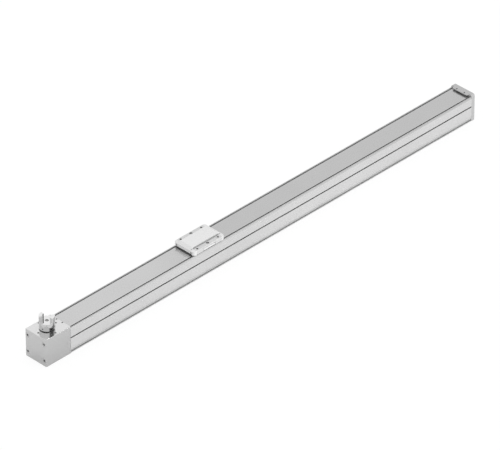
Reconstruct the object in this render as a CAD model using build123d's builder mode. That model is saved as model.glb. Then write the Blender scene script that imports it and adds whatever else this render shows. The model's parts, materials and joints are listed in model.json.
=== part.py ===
from build123d import *
import os
from math import cos, pi, radians, sin

# Toothed belt linear axis: a slide that runs along a slotted profile, pulled by a belt inside it.
# X runs along the profile, from the drive housing towards the end cap. Z is up, and the underside is Z = 0.

# Profile
profile_length = 1187.0
profile_width = 60.0
profile_height = 62.0
side_wall = 10.0
floor_thickness = 8.0
base_chamfer = 1.2
rim_bevel_width = 1.3
rim_bevel_height = 3.5
wide_room_depth = 5.0
side_slot_depth_below_top = 23.8
side_slot_mouth = 3.3
side_slot_lip = 1.6
side_slot_pocket_height = 5.8
side_slot_pocket_depth = 3.0
clamp_groove_z = 5.5
clamp_groove_height = 5.0
clamp_groove_depth = 2.6
side_relief_z = 12.0
side_relief_height = 5.2
side_relief_depth = 0.4
rail_seat_depth = 1.0
chamber_width = 6.0
chamber_radius = 1.5
chamber_wall = 2.4

# Cover strip between the two slits
rim_width = 3.55
slit_width = 3.0
strip_margin_width = 7.15
strip_thickness = 0.6
strip_edge_drop = 0.5
strip_end_grip = 7.0
strip_end_gap = 1.0
strip_play = 0.4

# Drive housing and end cap
head_length = 69.0
head_rise = 5.0
edge_break = 0.5
shaft_inset = 32.0
cap_thickness = 10.0
cap_corner_radius = 5.0
cap_ledge_depth = 6.5
cap_ledge_width = 44.0
cap_ledge_radius = 5.0
cap_ledge_clearance = 3.0
screw_inset_y = 6.0
screw_row_z = 13.5
screw_row_inset_top = 8.5
end_screw_thread_radius = 2.5
end_screw_head_radius = 5.0
end_screw_head_height = 6.0
end_screw_grip = 14.0
end_hole_clearance = 0.5
counterbore_clearance = 0.2
screw_hole_clearance = 0.1
screw_tip_gap = 0.5
socket_share = 0.55
set_socket_share = 0.4
motor_circle_diameter = 49.0
motor_hole_radius = 2.1
motor_hole_depth = 9.0
dowel_hole_radius = 1.0
dowel_hole_depth = 4.0
dowel_offset_y = -5.6
strip_screw_spacing = 17.0
strip_screw_radius = 1.75
strip_screw_inset = 2.4
strip_screw_sink = 0.6
cap_strip_screw_spacing = 22.0
cap_strip_screw_inset = 3.0

# Belt drive
belt_pitch = 3.0
pulley_teeth = 26
belt_back_thickness = 1.18
belt_tooth_height = 1.22
belt_tooth_root = 2.0
belt_tooth_tip = 1.2
pitch_line_depth = 0.38
tooth_bury = 0.2
groove_overlap = 1.0
tangent_teeth = 4
pulley_play = 0.5
pulley_flange_thickness = 1.0
pulley_flange_rise = 1.0
mesh_clearance = 0.05
pulley_room_clearance = 1.8
pulley_end_gap = 1.0
seat_clearance = 0.02

# Drive shaft, bearings and coupling hub
shaft_radius = 6.0
hub_seat_radius = 4.0
hub_bore_reserve = 4.0
shaft_end_play = 0.5
shaft_collar_radius = 7.5
bearing_outer_radius = 14.0
bearing_width = 8.0
bearing_ring_thickness = 2.2
bearing_running_gap = 0.3
shield_thickness = 0.5
shield_recess = 0.4
retaining_ring_thickness = 1.2
bearing_floor = 2.0
bearing_shoulder = 3.0
bearing_cover_recess = 0.4
bearing_cover_thickness = 3.4
shaft_ring_thickness = 0.8
retaining_groove_depth = 0.8
hub_radius = 16.5
hub_lift = 2.0
hub_height = 16.8
claw_height = 12.0
claw_angle = 62.0
claw_direction = 119.0
claw_inner_radius = 9.5
hub_slit_width = 1.2
hub_slit_overrun = 1.0
hub_clamp_height = 9.0
hub_screw_offset = 10.4
hub_screw_seat = 4.0
hub_screw_grip = 14.0
hub_screw_radius = 2.0
hub_screw_head_radius = 3.5
hub_screw_head_height = 4.0
key_width = 4.0
key_height = 4.0

# Idler at the far end
idler_inset = 24.0
idler_pin_radius = 4.0
idler_bearing_outer_radius = 8.0
idler_bearing_width = 5.0
idler_bearing_ring_thickness = 1.2
idler_shoulder = 1.0
idler_housing_length = 49.0
idler_housing_gap = 1.0
idler_housing_play = 0.3
idler_pin_below = 14.0
idler_pin_above = 5.0
strip_pad_start = 5.0
strip_pad_bury = 1.0
strip_pad_inset = 1.0
tension_screw_spacing = 20.0
tension_screw_z = 21.0
tension_screw_radius = 2.0
tension_screw_head_radius = 3.8
tension_screw_head_height = 4.0
tension_screw_grip = 12.0
tension_screw_tip_gap = 2.0
tension_hole_clearance = 0.3

# Guide rail and runner
rail_width = 15.0
rail_height = 10.0
rail_hole_pitch = 125.0
rail_hole_margin = 15.0
rail_end_gap = 2.0
rail_groove_depth = 1.1
rail_groove_height = 3.0
rail_groove_z = 6.0
rail_screw_radius = 1.5
rail_screw_head_radius = 2.75
rail_screw_head_height = 3.0
rail_screw_grip = 5.0
rail_screw_sink = 1.0
runner_width = 32.0
runner_height = 12.0
runner_lift = 4.0
runner_length = 43.0
runner_cap_length = 6.0
runner_cap_inset = 0.5
runner_seal_length = 1.5
runner_clearance = 0.25
runner_hole_spacing_x = 25.0
runner_hole_inset = 4.5
runner_screw_radius = 1.5
runner_screw_head_radius = 2.75
runner_screw_head_height = 3.0
runner_screw_grip = 5.0
runner_screw_sink = 0.4

# Slide
slide_pitches_from_shaft = 144.5
slide_body_length = 74.0
slide_cover_length = 8.0
slide_lift = 1.4
slide_ledge_height = 9.9
slide_ledge_width = 12.0
slide_plateau_rise = 4.2
slide_corner_radius = 7.0
slide_edge_radius = 1.2
slide_nose_length = 7.0
slide_nose_drop = 5.0
slide_web_thickness = 2.2
slide_web_clearance = 0.4
slide_wing_thickness = 2.7
slide_strip_clearance = 0.7
slide_room_clearance = 1.0
slide_core_inset = 7.5
slide_foot_clearance = 3.0
slide_foot_thickness = 7.0
slide_shoulder_thickness = 3.5
table_hole_spacing_x = 60.0
table_hole_inset_y = 5.7
table_hole_radius = 2.5
table_hole_depth = 9.0
centring_hole_radius = 3.5
centring_hole_depth = 2.2
side_pocket_length = 34.0
side_pocket_height = 6.6
side_pocket_depth = 1.6
side_insert_gap = 0.8
side_insert_sink = 0.2
cover_mouth_height = 2.2
cover_mouth_inset = 0.45
cover_screw_inset = 9.0
cover_screw_z_rise = 5.0
cover_screw_radius = 1.2
cover_screw_head_radius = 2.2
cover_screw_head_height = 1.6
cover_screw_grip = 4.0
wiper_thickness = 3.0
wiper_inset = 1.4
wiper_gap = 0.3

# Belt clamp in the slide, on the strand at the -Y side
clamp_side = -1
jaw_teeth = 19
jaw_gap = 0.1
jaw_tooth_clearance = 0.1
jaw_land = 1.0
clamp_screw_spacing_x = 44.0
clamp_screw_edge = 2.3
clamp_screw_band = 4.4
clamp_screw_grip = 6.0
clamp_screw_radius = 1.25
clamp_screw_head_radius = 2.2
clamp_screw_head_height = 2.4

# Rubber buffers at both ends of the travel
buffer_radius = 4.0
buffer_length = 8.0
buffer_stem_radius = 1.8
buffer_stem_length = 4.0
buffer_spacing = 24.0
buffer_z = 24.5

# Worked-out places
head_height = profile_height + head_rise
overall_length = head_length + profile_length + cap_thickness
head_x = -overall_length / 2
profile_x = head_x + head_length
cap_x = profile_x + profile_length
far_x = cap_x + cap_thickness
shaft_x = head_x + shaft_inset
strand_pitches = round((cap_x - idler_inset - shaft_x) / belt_pitch)
idler_x = shaft_x + strand_pitches * belt_pitch
slide_x = shaft_x + slide_pitches_from_shaft * belt_pitch
screw_spacing_y = profile_width - 2 * screw_inset_y
screw_spacing_z = profile_height - screw_row_inset_top - screw_row_z
screw_mid_z = screw_row_z + screw_spacing_z / 2
slit_outer = profile_width / 2 - rim_width
slit_inner = slit_outer - slit_width
strip_width = 2 * slit_inner
strip_flat_width = strip_width - 2 * strip_margin_width
room_half = profile_width / 2 - side_wall
side_slot_z = profile_height - side_slot_depth_below_top
chamber_start = end_screw_thread_radius + screw_hole_clearance + chamber_wall
lower_chamber_low = screw_row_z + chamber_start
lower_chamber_high = side_slot_z - side_slot_pocket_height / 2 - chamber_wall
upper_chamber_low = side_slot_z + side_slot_pocket_height / 2 + chamber_wall
upper_chamber_high = screw_row_z + screw_spacing_z - chamber_start
wide_room_z = profile_height - wide_room_depth
strip_top = profile_height
strip_bottom = strip_top - strip_thickness - strip_edge_drop
strip_start = profile_x - strip_end_grip
strip_end = cap_x - strip_end_gap
rail_z = floor_thickness - rail_seat_depth
rail_top = rail_z + rail_height
runner_bottom = rail_z + runner_lift
runner_top = runner_bottom + runner_height

slide_width = profile_width
slide_plateau_width = slide_width - 2 * slide_ledge_width
table_hole_spacing_y = slide_width - 2 * table_hole_inset_y
cover_screw_spacing = slide_width - 2 * cover_screw_inset
cover_mouth_width = strip_width - 2 * cover_mouth_inset
slide_low = profile_height + slide_lift
slide_ledge_z = slide_low + slide_ledge_height
slide_top = slide_ledge_z + slide_plateau_rise
slide_half = slide_body_length / 2
cover_end = slide_half + slide_cover_length
web_outer = slit_outer - slide_web_clearance
wing_top = strip_bottom - slide_strip_clearance
wing_low = wing_top - slide_wing_thickness
shoulder_low = wing_low - slide_shoulder_thickness
foot_top = runner_top + slide_foot_thickness
foot_half = room_half - slide_foot_clearance
inner_half = room_half - slide_room_clearance
core_half = foot_half - slide_core_inset
runner_hole_spacing_y = 2 * (foot_half - runner_hole_inset)

jaw_length = jaw_teeth * belt_pitch
jaw_low = foot_top + jaw_gap
jaw_high = shoulder_low - jaw_gap
clamp_screw_spacing_z = jaw_high - jaw_low - 2 * clamp_screw_edge
belt_width = jaw_high - jaw_low - 2 * clamp_screw_band
belt_mid_z = (jaw_low + jaw_high) / 2

pitch_radius = belt_pitch * pulley_teeth / (2 * pi)
belt_inner_radius = pitch_radius - pitch_line_depth
belt_back_radius = belt_inner_radius + belt_back_thickness
belt_low = belt_mid_z - belt_width / 2
belt_high = belt_mid_z + belt_width / 2
pulley_width = belt_width + 2 * pulley_play
pulley_half_height = pulley_width / 2 + pulley_flange_thickness
flange_radius = belt_back_radius + pulley_flange_rise
pulley_room_radius = flange_radius + pulley_room_clearance
pulley_low = belt_mid_z - pulley_half_height
pulley_high = belt_mid_z + pulley_half_height
room_low = pulley_low - pulley_end_gap
room_height = 2 * (pulley_half_height + pulley_end_gap)

lower_bearing_z = pulley_low - pulley_end_gap - bearing_width
bearing_cover_z = head_height - bearing_cover_recess - bearing_cover_thickness
retaining_z = bearing_cover_z - retaining_ring_thickness
upper_bearing_z = retaining_z - bearing_width
hub_z = head_height + hub_lift
hub_top = hub_z + hub_height
claw_top = hub_top + claw_height
shaft_bottom = lower_bearing_z - shaft_end_play
shaft_top = hub_top - hub_bore_reserve

idler_housing_x = cap_x - idler_housing_gap - idler_housing_length
rail_start = profile_x + rail_end_gap
rail_length = idler_housing_x - rail_end_gap - rail_start
rail_mid = rail_start + rail_length / 2
rail_hole_count = int((rail_length - 2 * rail_hole_margin) // rail_hole_pitch) + 1
rail_screw_seat = rail_top - rail_screw_head_height - rail_screw_sink


def across(x, z=0.0, facing=1):
    """Plane square to the profile at x, with the profile's Y along its own X."""
    return Plane(origin=(x, 0, z), x_dir=(0, 1, 0), z_dir=(facing, 0, 0))


def clamp_plane(distance):
    """Plane along the clamped strand, facing away from the slide's core."""
    return Plane(
        origin=(slide_x, clamp_side * distance, belt_mid_z),
        x_dir=(1, 0, 0),
        z_dir=(0, clamp_side, 0),
    )


def save(piece, name):
    """Label a finished piece and write it under its name."""
    piece.part.label = name
    export_step(piece.part, f"parts/{name}.step")


def cap_screw(thread_radius, grip, head_radius, head_height):
    """Socket head screw: shank down from Z = 0, head above it."""
    with BuildPart() as screw:
        Cylinder(thread_radius, grip, align=(Align.CENTER, Align.CENTER, Align.MAX))
        Cylinder(head_radius, head_height, align=(Align.CENTER, Align.CENTER, Align.MIN))
        with BuildSketch(Plane.XY.offset(head_height)):
            RegularPolygon(socket_share * head_radius, 6)
        extrude(amount=-socket_share * head_height, mode=Mode.SUBTRACT)
    return screw.part


def set_screw(thread_radius, length):
    """Headless screw with its socket up, top at Z = 0."""
    with BuildPart() as screw:
        Cylinder(thread_radius, length, align=(Align.CENTER, Align.CENTER, Align.MAX))
        with BuildSketch(Plane.XY):
            RegularPolygon(socket_share * thread_radius, 6)
        extrude(amount=-set_socket_share * length, mode=Mode.SUBTRACT)
    return screw.part


def tooth(height, root_width, tip_width, bury):
    """One tooth as a sketch: root on the Y axis, tip towards -X, buried a little into its back."""
    with BuildSketch(Plane.XY) as profile:
        with BuildLine():
            Polyline(
                (bury, -root_width / 2),
                (bury, root_width / 2),
                (0, root_width / 2),
                (-height, tip_width / 2),
                (-height, -tip_width / 2),
                (0, -root_width / 2),
                close=True,
            )
        make_face()
    return profile.sketch


def outer_ring(x, z, outer, width, thickness, inner_face):
    """Outer bearing ring with its two shields, which stop short of the inner ring."""
    shield_inner = inner_face + bearing_running_gap
    with BuildPart() as ring:
        with BuildSketch(Plane.XZ):
            with Locations((x + outer - thickness / 2, z + width / 2)):
                Rectangle(thickness, width)
            for shield_z in (z + shield_recess, z + width - shield_recess - shield_thickness):
                with Locations((x + shield_inner, shield_z)):
                    Rectangle(
                        outer - thickness - shield_inner,
                        shield_thickness,
                        align=(Align.MIN, Align.MIN),
                    )
        revolve(axis=Axis((x, 0, 0), (0, 0, 1)))
    return ring.part


def inner_ring(x, z, bore, outer, width):
    """Inner bearing ring, a plain sleeve."""
    with BuildPart() as ring:
        with BuildSketch(Plane.XY.offset(z)):
            with Locations((x, 0)):
                Circle(outer)
                Circle(bore, mode=Mode.SUBTRACT)
        extrude(amount=width)
    return ring.part


os.makedirs("parts", exist_ok=True)

chambers = (
    (lower_chamber_low, lower_chamber_high),
    (upper_chamber_low, upper_chamber_high),
)

# Profile: U-shaped section with a narrow room below, a wide one under the rims, and an open top
with BuildPart() as profile_extrusion:
    with BuildSketch(across(profile_x)):
        with BuildLine():
            Polyline(
                (0, 0),
                (profile_width / 2 - base_chamfer, 0),
                (profile_width / 2, base_chamfer),
                (profile_width / 2, profile_height - rim_bevel_height),
                (profile_width / 2 - rim_bevel_width, profile_height),
                (slit_outer, profile_height),
                (slit_outer, wide_room_z),
                (room_half, wide_room_z),
                (room_half, floor_thickness),
                (rail_width / 2 + seat_clearance, floor_thickness),
                (rail_width / 2 + seat_clearance, rail_z),
                (0, rail_z),
            )
            mirror(about=Plane.YZ)
        make_face()
        for side in (-1, 1):
            wall_y = side * profile_width / 2
            with Locations((wall_y - side * side_slot_lip / 2, side_slot_z)):
                Rectangle(side_slot_lip, side_slot_mouth, mode=Mode.SUBTRACT)
            with Locations((wall_y - side * (side_slot_lip + side_slot_pocket_depth / 2), side_slot_z)):
                Rectangle(side_slot_pocket_depth, side_slot_pocket_height, mode=Mode.SUBTRACT)
            with Locations((wall_y - side * clamp_groove_depth / 2, clamp_groove_z)):
                Rectangle(clamp_groove_depth, clamp_groove_height, mode=Mode.SUBTRACT)
            with Locations((wall_y - side * side_relief_depth / 2, side_relief_z)):
                Rectangle(side_relief_depth, side_relief_height, mode=Mode.SUBTRACT)
            for low, high in chambers:
                with Locations((side * (room_half + side_wall / 2), (low + high) / 2)):
                    RectangleRounded(chamber_width, high - low, chamber_radius, mode=Mode.SUBTRACT)
        with Locations((0, screw_mid_z)):
            with GridLocations(screw_spacing_y, screw_spacing_z, 2, 2):
                Circle(end_screw_thread_radius + screw_hole_clearance, mode=Mode.SUBTRACT)
    extrude(amount=profile_length)
    with Locations(Plane((rail_mid, 0, rail_z))):
        with GridLocations(rail_hole_pitch, 0, rail_hole_count, 1):
            Hole(rail_screw_radius + seat_clearance, rail_screw_grip)
save(profile_extrusion, "profile_extrusion")

# Cover strip: flat in the middle, with margins that slope down to the slits
with BuildPart() as cover_strip:
    with BuildSketch(across(strip_start)):
        with BuildLine():
            Polyline(
                (0, strip_top - strip_thickness),
                (strip_flat_width / 2, strip_top - strip_thickness),
                (strip_width / 2, strip_bottom),
                (strip_width / 2, strip_bottom + strip_thickness),
                (strip_flat_width / 2, strip_top),
                (0, strip_top),
            )
            mirror(about=Plane.YZ)
        make_face()
    extrude(amount=strip_end - strip_start)
save(cover_strip, "cover_strip")

# Drive housing: pulley room open towards the profile, bearing seats, motor flange holes on top
with BuildPart() as drive_housing:
    with BuildSketch(across(head_x)):
        with Locations((0, head_height / 2)):
            Rectangle(profile_width, head_height)
    extrude(amount=head_length)
    chamfer(drive_housing.edges(), length=edge_break)
    with BuildSketch(Plane.XY.offset(room_low)):
        with Locations((shaft_x, 0)):
            Circle(pulley_room_radius)
        with Locations(((shaft_x + profile_x) / 2, 0)):
            Rectangle(profile_x - shaft_x, 2 * pulley_room_radius)
    extrude(amount=room_height, mode=Mode.SUBTRACT)
    with BuildSketch(Plane.XY.offset(lower_bearing_z - bearing_floor)):
        with Locations((shaft_x, 0)):
            Circle(bearing_outer_radius - bearing_shoulder)
    extrude(amount=upper_bearing_z - lower_bearing_z + bearing_floor, mode=Mode.SUBTRACT)
    with BuildSketch(Plane.XY.offset(lower_bearing_z)):
        with Locations((shaft_x, 0)):
            Circle(bearing_outer_radius + seat_clearance)
    extrude(amount=room_low - lower_bearing_z, mode=Mode.SUBTRACT)
    with BuildSketch(Plane.XY.offset(upper_bearing_z)):
        with Locations((shaft_x, 0)):
            Circle(bearing_outer_radius + seat_clearance)
    extrude(amount=head_height - upper_bearing_z, mode=Mode.SUBTRACT)
    with BuildSketch(Plane.XY.offset(retaining_z)):
        with Locations((shaft_x, 0)):
            Circle(bearing_outer_radius + retaining_groove_depth)
    extrude(amount=retaining_ring_thickness, mode=Mode.SUBTRACT)
    with BuildSketch(across(strip_start - strip_play)):
        with Locations((0, (strip_bottom + strip_top) / 2)):
            Rectangle(strip_width + 2 * strip_play, strip_top - strip_bottom + strip_play)
    extrude(amount=profile_x - strip_start + strip_play, mode=Mode.SUBTRACT)
    with Locations(across(head_x, screw_mid_z, facing=-1)):
        with GridLocations(screw_spacing_y, screw_spacing_z, 2, 2):
            CounterBoreHole(
                end_screw_thread_radius + end_hole_clearance,
                end_screw_head_radius + counterbore_clearance,
                end_screw_head_height + counterbore_clearance,
            )
    with Locations(Plane((shaft_x, 0, head_height))):
        with PolarLocations(motor_circle_diameter / 2, 4):
            Hole(motor_hole_radius, motor_hole_depth)
        with Locations((-motor_circle_diameter / 2, dowel_offset_y)):
            Hole(dowel_hole_radius, dowel_hole_depth)
    with Locations(Plane((profile_x - strip_screw_inset, 0, head_height))):
        with GridLocations(0, strip_screw_spacing, 1, 2):
            Hole(strip_screw_radius + screw_hole_clearance, head_height - strip_top)
    with Locations(across(profile_x, buffer_z)):
        with GridLocations(buffer_spacing, 0, 2, 1):
            Hole(buffer_stem_radius + seat_clearance, buffer_stem_length)
save(drive_housing, "drive_housing")

head_screw_seat = head_x + end_screw_head_height + counterbore_clearance
head_screw = cap_screw(
    end_screw_thread_radius,
    profile_x - head_screw_seat + end_screw_grip,
    end_screw_head_radius,
    end_screw_head_height,
)
with BuildPart(across(head_screw_seat, screw_mid_z, facing=-1)) as head_screws:
    with GridLocations(screw_spacing_y, screw_spacing_z, 2, 2):
        add(head_screw)
save(head_screws, "head_screws")

strip_screw_top = head_height - strip_screw_sink
strip_screw = set_screw(strip_screw_radius, strip_screw_top - strip_top)
with BuildPart(Plane((profile_x - strip_screw_inset, 0, strip_screw_top))) as head_strip_screws:
    with GridLocations(0, strip_screw_spacing, 1, 2):
        add(strip_screw)
save(head_strip_screws, "head_strip_screws")

# End cap: plate with rounded top corners and a ledge that reaches over the strip
ledge_low = strip_top + cap_ledge_clearance
cap_screw_seat = far_x - end_screw_head_height - counterbore_clearance
end_strip_screw_x = cap_x - cap_strip_screw_inset
with BuildPart() as end_cap:
    with BuildSketch(across(cap_x)):
        with Locations((0, head_height / 2)):
            Rectangle(profile_width, head_height)
    extrude(amount=cap_thickness)
    fillet(end_cap.edges().filter_by(Axis.X).group_by(Axis.Z)[-1], radius=cap_corner_radius)
    chamfer(end_cap.edges().filter_by(Axis.X).group_by(Axis.Z)[0], length=base_chamfer)
    chamfer(end_cap.faces().sort_by(Axis.X)[-1].edges(), length=edge_break)
    with BuildSketch(Plane.XY.offset(ledge_low)) as ledge:
        with Locations((cap_x - cap_ledge_depth, 0)):
            Rectangle(cap_ledge_depth + cap_thickness / 2, cap_ledge_width, align=(Align.MIN, Align.CENTER))
        fillet(ledge.vertices().group_by(Axis.X)[0], radius=cap_ledge_radius)
    extrude(amount=head_height - ledge_low)
    with Locations(across(far_x, screw_mid_z)):
        with GridLocations(screw_spacing_y, screw_spacing_z, 2, 2):
            CounterBoreHole(
                end_screw_thread_radius + end_hole_clearance,
                end_screw_head_radius + counterbore_clearance,
                end_screw_head_height + counterbore_clearance,
            )
    with Locations(across(far_x, tension_screw_z)):
        with GridLocations(tension_screw_spacing, 0, 2, 1):
            CounterBoreHole(
                tension_screw_radius + tension_hole_clearance,
                tension_screw_head_radius + counterbore_clearance,
                tension_screw_head_height + counterbore_clearance,
            )
    with Locations(Plane((end_strip_screw_x, 0, head_height))):
        with GridLocations(0, cap_strip_screw_spacing, 1, 2):
            Hole(strip_screw_radius + screw_hole_clearance, head_height - ledge_low)
save(end_cap, "end_cap")

end_screw = cap_screw(
    end_screw_thread_radius,
    cap_screw_seat - cap_x + end_screw_grip,
    end_screw_head_radius,
    end_screw_head_height,
)
with BuildPart(across(cap_screw_seat, screw_mid_z)) as end_cap_screws:
    with GridLocations(screw_spacing_y, screw_spacing_z, 2, 2):
        add(end_screw)
save(end_cap_screws, "end_cap_screws")

with BuildPart(Plane((end_strip_screw_x, 0, strip_screw_top))) as end_strip_screws:
    with GridLocations(0, cap_strip_screw_spacing, 1, 2):
        add(strip_screw)
save(end_strip_screws, "end_strip_screws")

# Idler housing: a block in the profile's far end that also carries the strip's end from below
strip_pad_x = idler_x + strip_pad_start
idler_pin_low = pulley_low - idler_pin_below
idler_pin_high = pulley_high + idler_pin_above
with BuildPart() as idler_housing:
    with BuildSketch(across(idler_housing_x)):
        with Locations((0, (floor_thickness + wide_room_z) / 2)):
            Rectangle(
                2 * (room_half - idler_housing_play),
                wide_room_z - floor_thickness - 2 * idler_housing_play,
            )
    extrude(amount=idler_housing_length)
    with BuildSketch(across(strip_pad_x)):
        with BuildLine():
            Polyline(
                (0, wide_room_z - strip_pad_bury),
                (room_half - idler_housing_play, wide_room_z - strip_pad_bury),
                (room_half - idler_housing_play, wide_room_z + idler_housing_play),
                (slit_inner - strip_pad_inset, wide_room_z + idler_housing_play),
                (slit_inner - strip_pad_inset, strip_bottom),
                (strip_flat_width / 2, strip_top - strip_thickness),
                (0, strip_top - strip_thickness),
            )
            mirror(about=Plane.YZ)
        make_face()
    extrude(amount=cap_x - idler_housing_gap - strip_pad_x)
    with BuildSketch(Plane.XY.offset(room_low)):
        with Locations((idler_x, 0)):
            Circle(pulley_room_radius)
        with Locations(((idler_x + idler_housing_x) / 2, 0)):
            Rectangle(idler_x - idler_housing_x, 2 * pulley_room_radius)
    extrude(amount=room_height, mode=Mode.SUBTRACT)
    with BuildSketch(Plane.XY.offset(idler_pin_low)):
        with Locations((idler_x, 0)):
            Circle(idler_pin_radius + seat_clearance)
    extrude(amount=wide_room_z - idler_pin_low, mode=Mode.SUBTRACT)
    with Locations(across(cap_x - idler_housing_gap, tension_screw_z)):
        with GridLocations(tension_screw_spacing, 0, 2, 1):
            Hole(tension_screw_radius + seat_clearance, tension_screw_grip)
    with Locations(across(idler_housing_x, buffer_z, facing=-1)):
        with GridLocations(buffer_spacing, 0, 2, 1):
            Hole(buffer_stem_radius + seat_clearance, buffer_stem_length)
save(idler_housing, "idler_housing")

tension_screw_seat = far_x - tension_screw_head_height - counterbore_clearance
tension_screw = cap_screw(
    tension_screw_radius,
    tension_screw_seat - cap_x + idler_housing_gap + tension_screw_grip - tension_screw_tip_gap,
    tension_screw_head_radius,
    tension_screw_head_height,
)
with BuildPart(across(tension_screw_seat, tension_screw_z)) as tension_screws:
    with GridLocations(tension_screw_spacing, 0, 2, 1):
        add(tension_screw)
save(tension_screws, "tension_screws")

# Belt: a loop round both pulleys, toothed where it wraps them and where the slide grips it
wrap_step = 360.0 / pulley_teeth
belt_tooth = tooth(belt_tooth_height, belt_tooth_root, belt_tooth_tip, tooth_bury)
wrap_teeth = pulley_teeth // 2
tangent_length = tangent_teeth * belt_pitch
with BuildPart() as toothed_belt:
    with BuildSketch(Plane.XY.offset(belt_low)):
        with Locations(((shaft_x + idler_x) / 2, 0)):
            SlotCenterToCenter(idler_x - shaft_x, 2 * belt_back_radius)
            SlotCenterToCenter(idler_x - shaft_x, 2 * belt_inner_radius, mode=Mode.SUBTRACT)
        for centre_x, middle_angle in ((shaft_x, 180.0), (idler_x, 0.0)):
            start_angle = middle_angle - (wrap_teeth // 2) * wrap_step
            with Locations((centre_x, 0)):
                with PolarLocations(belt_inner_radius, wrap_teeth, start_angle, wrap_teeth * wrap_step):
                    add(belt_tooth)
        for side in (-1, 1):
            for middle_x in (shaft_x + tangent_length / 2, idler_x - tangent_length / 2):
                with Locations(Location((middle_x, side * belt_inner_radius, 0), (0, 0, side * 90.0))):
                    with GridLocations(0, belt_pitch, 1, tangent_teeth):
                        add(belt_tooth)
        with Locations(Location((slide_x, clamp_side * belt_inner_radius, 0), (0, 0, clamp_side * 90.0))):
            with GridLocations(0, belt_pitch, 1, jaw_teeth):
                add(belt_tooth)
    extrude(amount=belt_width)
save(toothed_belt, "toothed_belt")

# Pulleys: toothed rims between two flanges
pulley_groove = tooth(
    belt_tooth_height + 2 * mesh_clearance,
    belt_tooth_root + 4 * mesh_clearance,
    belt_tooth_tip + 4 * mesh_clearance,
    groove_overlap,
)


def toothed_rim(centre_x, first_angle):
    """Pulley blank with its grooves and flanges, without a bore."""
    with BuildPart() as rim:
        with BuildSketch(Plane.XY.offset(belt_mid_z - pulley_width / 2)):
            with Locations((centre_x, 0)):
                Circle(belt_inner_radius - mesh_clearance)
                with PolarLocations(belt_inner_radius - mesh_clearance, pulley_teeth, first_angle):
                    add(pulley_groove, mode=Mode.SUBTRACT)
        extrude(amount=pulley_width)
        for flange_z in (pulley_low, pulley_high - pulley_flange_thickness):
            with BuildSketch(Plane.XY.offset(flange_z)):
                with Locations((centre_x, 0)):
                    Circle(flange_radius)
            extrude(amount=pulley_flange_thickness)
    return rim.part


with BuildPart() as drive_pulley:
    add(toothed_rim(shaft_x, 180.0))
    with BuildSketch(Plane.XY.offset(pulley_low)):
        with Locations((shaft_x, 0)):
            Circle(shaft_radius + seat_clearance)
        with Locations((shaft_x + shaft_radius, 0)):
            Rectangle(key_height + 2 * seat_clearance, key_width + 2 * seat_clearance)
    extrude(amount=2 * pulley_half_height, mode=Mode.SUBTRACT)
save(drive_pulley, "drive_pulley")

# Drive shaft with a collar above the pulley and a thinner end for the hub
with BuildPart() as drive_shaft:
    with BuildSketch(Plane.XY.offset(shaft_bottom)):
        with Locations((shaft_x, 0)):
            Circle(shaft_radius)
    extrude(amount=hub_z - shaft_bottom)
    with BuildSketch(Plane.XY.offset(hub_z)):
        with Locations((shaft_x, 0)):
            Circle(hub_seat_radius)
    extrude(amount=shaft_top - hub_z)
    with BuildSketch(Plane.XY.offset(pulley_high)):
        with Locations((shaft_x, 0)):
            Circle(shaft_collar_radius)
    extrude(amount=upper_bearing_z - pulley_high)
    with BuildSketch(Plane.XY.offset(belt_mid_z - pulley_width / 2)):
        with Locations((shaft_x + shaft_radius, 0)):
            Rectangle(key_height + 2 * seat_clearance, key_width + 2 * seat_clearance)
    extrude(amount=pulley_width, mode=Mode.SUBTRACT)
    with BuildSketch(Plane.XY.offset(retaining_z)):
        with Locations((shaft_x, 0)):
            Circle(shaft_radius + retaining_groove_depth)
            Circle(shaft_radius - retaining_groove_depth, mode=Mode.SUBTRACT)
    extrude(amount=shaft_ring_thickness, mode=Mode.SUBTRACT)
save(drive_shaft, "drive_shaft")

with BuildPart() as shaft_key:
    with BuildSketch(Plane.XY.offset(belt_mid_z - pulley_width / 2)):
        with Locations((shaft_x + shaft_radius, 0)):
            Rectangle(key_height, key_width)
    extrude(amount=pulley_width)
save(shaft_key, "shaft_key")

bearing_inner_face = shaft_radius + bearing_ring_thickness
with BuildPart() as drive_bearing_outer_rings:
    for ring_z in (lower_bearing_z, upper_bearing_z):
        add(
            outer_ring(
                shaft_x,
                ring_z,
                bearing_outer_radius,
                bearing_width,
                bearing_ring_thickness,
                bearing_inner_face,
            )
        )
save(drive_bearing_outer_rings, "drive_bearing_outer_rings")

with BuildPart() as drive_bearing_inner_rings:
    for ring_z in (lower_bearing_z, upper_bearing_z):
        add(inner_ring(shaft_x, ring_z, shaft_radius + seat_clearance, bearing_inner_face, bearing_width))
save(drive_bearing_inner_rings, "drive_bearing_inner_rings")

with BuildPart() as bearing_retaining_ring:
    add(
        inner_ring(
            shaft_x,
            retaining_z,
            bearing_outer_radius - bearing_ring_thickness,
            bearing_outer_radius + retaining_groove_depth - seat_clearance,
            retaining_ring_thickness,
        )
    )
save(bearing_retaining_ring, "bearing_retaining_ring")

with BuildPart() as shaft_retaining_ring:
    add(
        inner_ring(
            shaft_x,
            retaining_z,
            shaft_radius - retaining_groove_depth + seat_clearance,
            bearing_inner_face,
            shaft_ring_thickness,
        )
    )
save(shaft_retaining_ring, "shaft_retaining_ring")

with BuildPart() as bearing_cover:
    add(
        inner_ring(
            shaft_x,
            bearing_cover_z,
            shaft_radius + bearing_running_gap,
            bearing_outer_radius,
            bearing_cover_thickness,
        )
    )
save(bearing_cover, "bearing_cover")

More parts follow.
